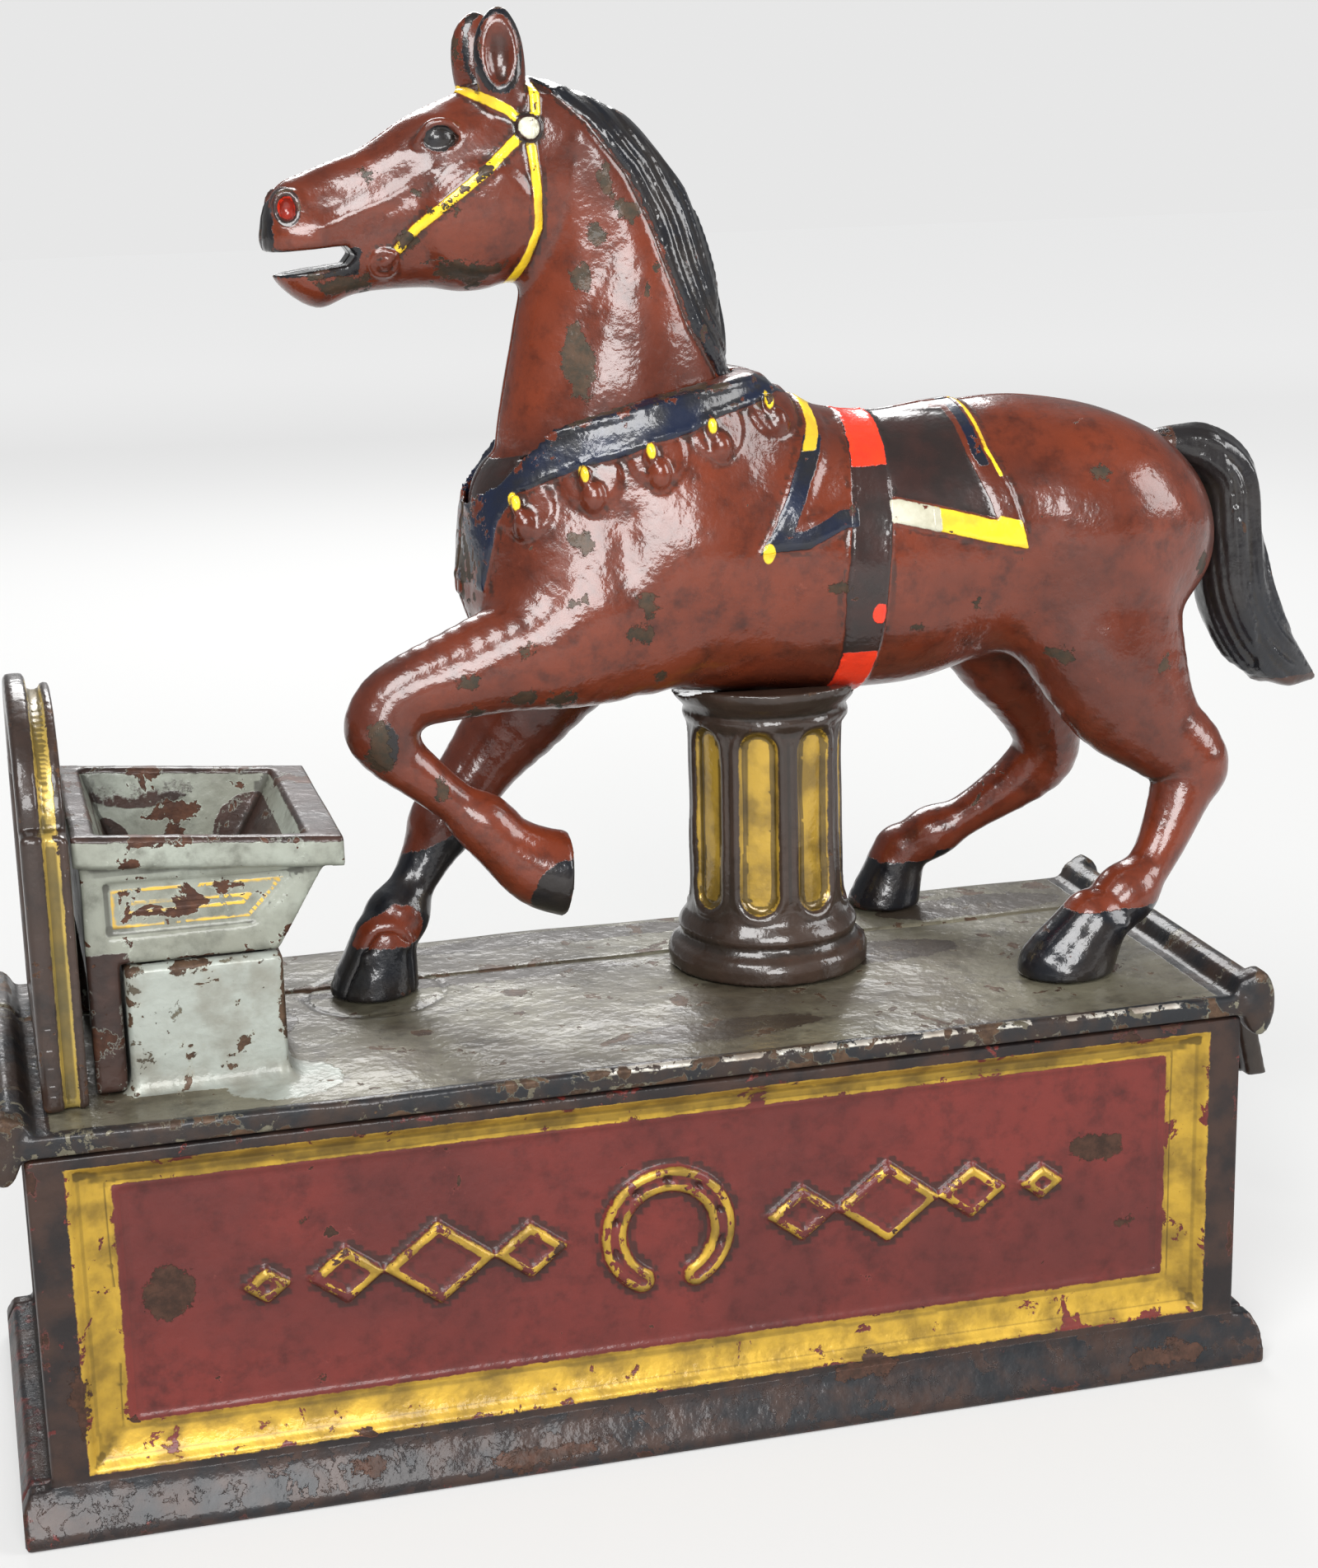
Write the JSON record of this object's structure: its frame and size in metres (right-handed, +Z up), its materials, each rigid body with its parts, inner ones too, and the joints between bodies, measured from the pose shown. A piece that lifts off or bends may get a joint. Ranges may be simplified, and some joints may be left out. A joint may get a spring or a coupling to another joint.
{
  "type": "figural animal coin bank",
  "caption": "Cast-iron mechanical coin bank: a horse on a fluted column above a box base; pulling a lever nods its head to a manger, whose floor drops.",
  "frame": {"origin": "the middle of the base's underside, on the surface it stands on", "axes": "+X from the manger to the horse's tail, +Y from the front panel to the rear panel, +Z up"},
  "size_m": [0.2119, 0.0704, 0.2013],
  "materials": {
    "horse_paint": "glossy chestnut paint with chips",
    "black_paint": "gloss black",
    "panel_paint": "worn oxide red, gold and black",
    "deck_paint": "worn grey-olive",
    "column_paint": "dark brown with gold flutes",
    "manger_paint": "worn grey-green",
    "board_paint": "worn gold and brown",
    "bare_iron": "bare casting",
    "steel_wire": "drawn steel"
  },
  "bodies": {
    "base": {"front_panel": "panel_paint", "rear_panel": "panel_paint", "left_end_plate": "panel_paint", "right_end_plate": "panel_paint", "bottom_plate": "bare_iron", "coin_trap_pin": "steel_wire", "tie_screw_1": "steel_wire", "tie_screw_2": "steel_wire", "near_deck": "deck_paint", "far_deck": "deck_paint", "end_board": "board_paint", "manger": "manger_paint", "manger_flap_pin": "steel_wire", "body_near_half": "horse_paint", "body_far_half": "horse_paint", "tail": "black_paint", "body_rivet_1": "steel_wire", "body_rivet_2": "steel_wire", "column": "column_paint", "neck_pivot_pin": "steel_wire", "lever_pivot_pin": "steel_wire", "lever_spring": "steel_wire"},
    "head": {"head_near_half": "horse_paint", "head_far_half": "horse_paint", "head_rivet_1": "steel_wire", "head_rivet_2": "steel_wire", "rod_upper_pin": "steel_wire"},
    "rod": {"connecting_rod": "bare_iron"},
    "lever": {"pull_lever": "bare_iron", "rod_lower_pin": "steel_wire"},
    "link": {"flap_link": "steel_wire"},
    "flap": {"manger_flap": "bare_iron"},
    "trap": {"coin_trap": "bare_iron"},
    "lock": {"trap_lock": "steel_wire"}
  },
  "joints": [
    {"name": "lever_pull", "type": "hinge", "parent": "base", "child": "lever", "pos_m": [0.06525, 0.007, 0.04], "axis": [0, 1, 0], "range_deg": [0, 20], "stiffness_Nm_per_rad": 0.35, "springref_deg": -57.3, "deforming": ["lever_spring"]},
    {"name": "head_nod", "type": "hinge", "parent": "base", "child": "head", "pos_m": [-0.008, 0.007, 0.132], "axis": [0, -1, 0], "range_deg": [0, 50]},
    {"name": "rod_lift", "type": "slide", "parent": "base", "child": "rod", "axis": [0, 0, 1], "range_m": [0, 0.01353]},
    {"name": "link_slide", "type": "slide", "parent": "base", "child": "link", "axis": [-1, 0, 0], "range_m": [0, 0.00522]},
    {"name": "flap_drop", "type": "hinge", "parent": "base", "child": "flap", "pos_m": [-0.065, 0, 0.075], "axis": [0, 1, 0], "range_deg": [0, 60]},
    {"name": "trap_open", "type": "hinge", "parent": "base", "child": "trap", "pos_m": [-0.064, 0, 0.0027], "axis": [0, 1, 0], "range_deg": [0, 95]},
    {"name": "lock_turn", "type": "hinge", "parent": "trap", "child": "lock", "pos_m": [-0.044, 0, 0.002], "axis": [0, 0, 1], "range_deg": [0, 90]}
  ],
  "couplings": [
    {"joint": "head_nod", "follows": "lever_pull", "ratio": 2.5},
    {"joint": "rod_lift", "follows": "lever_pull", "m_per_rad": 0.03874},
    {"joint": "link_slide", "follows": "lever_pull", "m_per_rad": 0.01492},
    {"joint": "flap_drop", "follows": "lever_pull", "ratio": 3}
  ]
}
